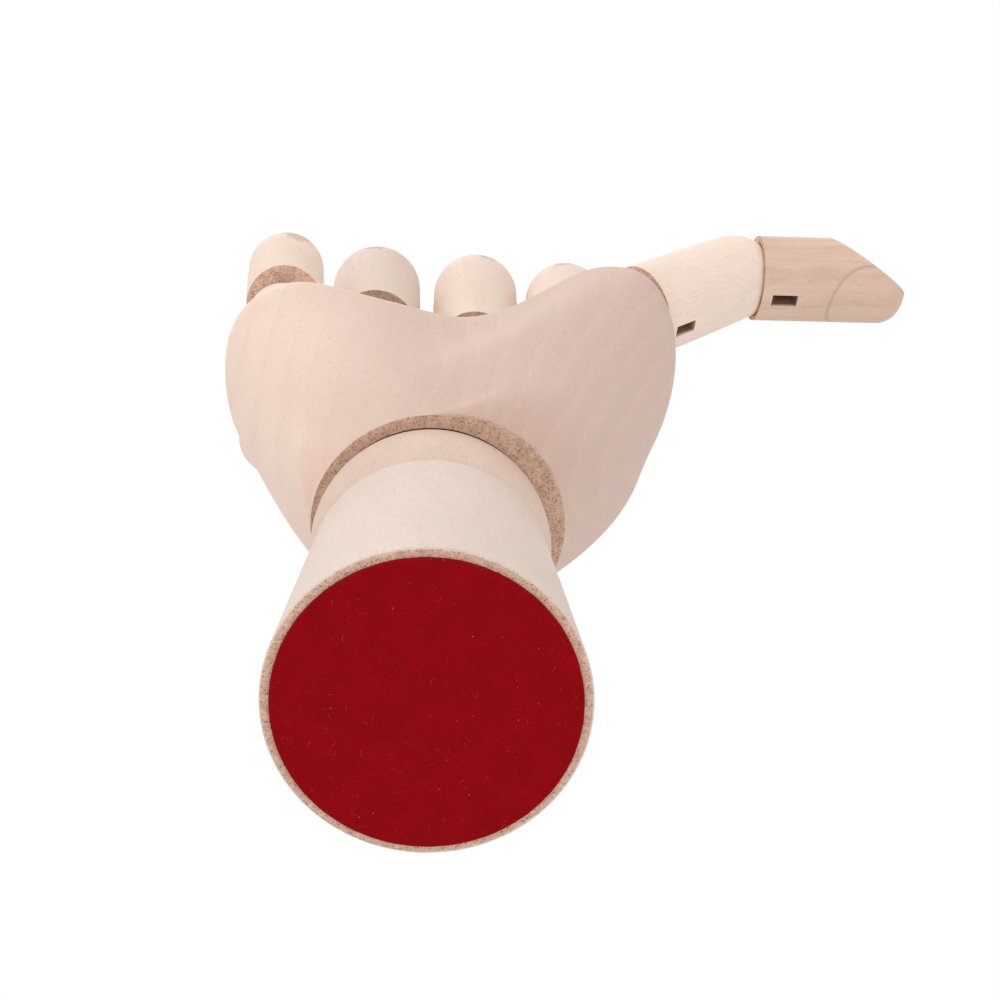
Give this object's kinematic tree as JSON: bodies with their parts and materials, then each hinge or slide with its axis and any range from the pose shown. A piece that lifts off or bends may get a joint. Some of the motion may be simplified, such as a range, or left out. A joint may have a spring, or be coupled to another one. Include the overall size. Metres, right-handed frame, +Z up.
{
  "type": "jointed wooden hand mannequin",
  "caption": "Free-standing jointed wooden hand for drawing and display, on a tapered round base with a ball wrist and hinged fingers and thumb.",
  "frame": {"origin": "centre of the felt's underside, where the base stands", "axes": "+Z up along the base, -Y the way the palm faces, +X towards the thumb"},
  "size_m": [0.1113, 0.0601, 0.1775],
  "materials": {
    "felt": "short dense crimson felt",
    "base_wood": "raw sanded wood, not varnished",
    "ball_wood": "raw sanded wood, not varnished",
    "palm_wood": "raw sanded wood, not varnished",
    "finger_wood": "raw sanded wood, not varnished",
    "thumb_wood": "raw sanded wood, not varnished",
    "steel": "plain mild steel",
    "spring_steel": "drawn spring wire"
  },
  "bodies": {
    "base": {"felt_pad": "felt", "turned_base": "base_wood", "spring_anchor_pin": "steel", "wrist_spring": "spring_steel"},
    "wrist_ball_body": {"wrist_ball": "ball_wood"},
    "tie_rod_body": {"tie_rod": "steel"},
    "palm_body": {"palm": "palm_wood", "tie_bush": "ball_wood", "knuckle_pins": "steel"},
    "index_proximal_body": {"index_proximal": "finger_wood", "index_proximal_link": "steel", "index_proximal_pins": "steel"},
    "index_middle_body": {"index_middle": "finger_wood", "index_middle_link": "steel", "index_middle_pins": "steel"},
    "index_distal_body": {"index_distal": "finger_wood", "index_distal_link": "steel", "index_distal_pins": "steel"},
    "middle_proximal_body": {"middle_proximal": "finger_wood", "middle_proximal_link": "steel", "middle_proximal_pins": "steel"},
    "middle_middle_body": {"middle_middle": "finger_wood", "middle_middle_link": "steel", "middle_middle_pins": "steel"},
    "middle_distal_body": {"middle_distal": "finger_wood", "middle_distal_link": "steel", "middle_distal_pins": "steel"},
    "ring_proximal_body": {"ring_proximal": "finger_wood", "ring_proximal_link": "steel", "ring_proximal_pins": "steel"},
    "ring_middle_body": {"ring_middle": "finger_wood", "ring_middle_link": "steel", "ring_middle_pins": "steel"},
    "ring_distal_body": {"ring_distal": "finger_wood", "ring_distal_link": "steel", "ring_distal_pins": "steel"},
    "little_proximal_body": {"little_proximal": "finger_wood", "little_proximal_link": "steel", "little_proximal_pins": "steel"},
    "little_middle_body": {"little_middle": "finger_wood", "little_middle_link": "steel", "little_middle_pins": "steel"},
    "little_distal_body": {"little_distal": "finger_wood", "little_distal_link": "steel", "little_distal_pins": "steel"},
    "thumb_proximal_body": {"thumb_proximal": "thumb_wood", "thumb_proximal_link": "steel", "thumb_proximal_pins": "steel"},
    "thumb_distal_body": {"thumb_distal": "thumb_wood", "thumb_distal_link": "steel", "thumb_distal_pins": "steel"}
  },
  "joints": [
    {"name": "wrist_tilt", "type": "hinge", "parent": "base", "child": "wrist_ball_body", "pos_m": [0, 0, 0.059], "axis": [0, 1, 0], "range_deg": [-22, 22]},
    {"name": "wrist_bend", "type": "hinge", "parent": "wrist_ball_body", "child": "tie_rod_body", "pos_m": [0, 0, 0.059], "axis": [1, 0, 0], "range_deg": [-30, 22]},
    {"name": "wrist_turn", "type": "hinge", "parent": "tie_rod_body", "child": "palm_body", "pos_m": [0, 0, 0.059], "axis": [0, -0.0698, 0.9976], "continuous": true},
    {"name": "index_knuckle", "type": "hinge", "parent": "palm_body", "child": "index_proximal_body", "pos_m": [0.0222, 0.00546, 0.1085], "axis": [1, 0, 0], "range_deg": [-10, 45]},
    {"name": "index_middle_joint", "type": "hinge", "parent": "index_proximal_body", "child": "index_middle_body", "pos_m": [0.0222, 0.00374, 0.12642], "axis": [1, 0, 0], "range_deg": [-8, 42]},
    {"name": "index_end_joint", "type": "hinge", "parent": "index_middle_body", "child": "index_distal_body", "pos_m": [0.0222, 0.00197, 0.14081], "axis": [1, 0, 0], "range_deg": [-8, 40]},
    {"name": "middle_knuckle", "type": "hinge", "parent": "palm_body", "child": "middle_proximal_body", "pos_m": [0.0066, 0.00665, 0.11009], "axis": [1, 0, 0], "range_deg": [-10, 52]},
    {"name": "middle_middle_joint", "type": "hinge", "parent": "middle_proximal_body", "child": "middle_middle_body", "pos_m": [0.0066, 0.00483, 0.129], "axis": [1, 0, 0], "range_deg": [-8, 50]},
    {"name": "middle_end_joint", "type": "hinge", "parent": "middle_middle_body", "child": "middle_distal_body", "pos_m": [0.0066, 0.00294, 0.14438], "axis": [1, 0, 0], "range_deg": [-8, 40]},
    {"name": "ring_knuckle", "type": "hinge", "parent": "palm_body", "child": "ring_proximal_body", "pos_m": [-0.0105, 0.00327, 0.10835], "axis": [1, 0, 0], "range_deg": [-10, 50]},
    {"name": "ring_middle_joint", "type": "hinge", "parent": "ring_proximal_body", "child": "ring_middle_body", "pos_m": [-0.0105, 0.00145, 0.12726], "axis": [1, 0, 0], "range_deg": [-8, 45]},
    {"name": "ring_end_joint", "type": "hinge", "parent": "ring_middle_body", "child": "ring_distal_body", "pos_m": [-0.0105, -0.00063, 0.14413], "axis": [1, 0, 0], "range_deg": [-8, 38]},
    {"name": "little_knuckle", "type": "hinge", "parent": "palm_body", "child": "little_proximal_body", "pos_m": [-0.0256, -0.002, 0.10197], "axis": [1, 0, 0], "range_deg": [-10, 44]},
    {"name": "little_middle_joint", "type": "hinge", "parent": "little_proximal_body", "child": "little_middle_body", "pos_m": [-0.0256, -0.00528, 0.11966], "axis": [1, 0, 0], "range_deg": [-8, 42]},
    {"name": "little_end_joint", "type": "hinge", "parent": "little_middle_body", "child": "little_distal_body", "pos_m": [-0.0256, -0.0094, 0.13616], "axis": [1, 0, 0], "range_deg": [-8, 38]},
    {"name": "thumb_base", "type": "hinge", "parent": "palm_body", "child": "thumb_proximal_body", "pos_m": [0.03071, -0.02503, 0.09585], "axis": [0.1697, -0.9694, -0.1773], "range_deg": [-18, 20]},
    {"name": "thumb_end", "type": "hinge", "parent": "thumb_proximal_body", "child": "thumb_distal_body", "pos_m": [0.04936, -0.02518, 0.11453], "axis": [0.1697, -0.9694, -0.1773], "range_deg": [-4, 60]}
  ]
}
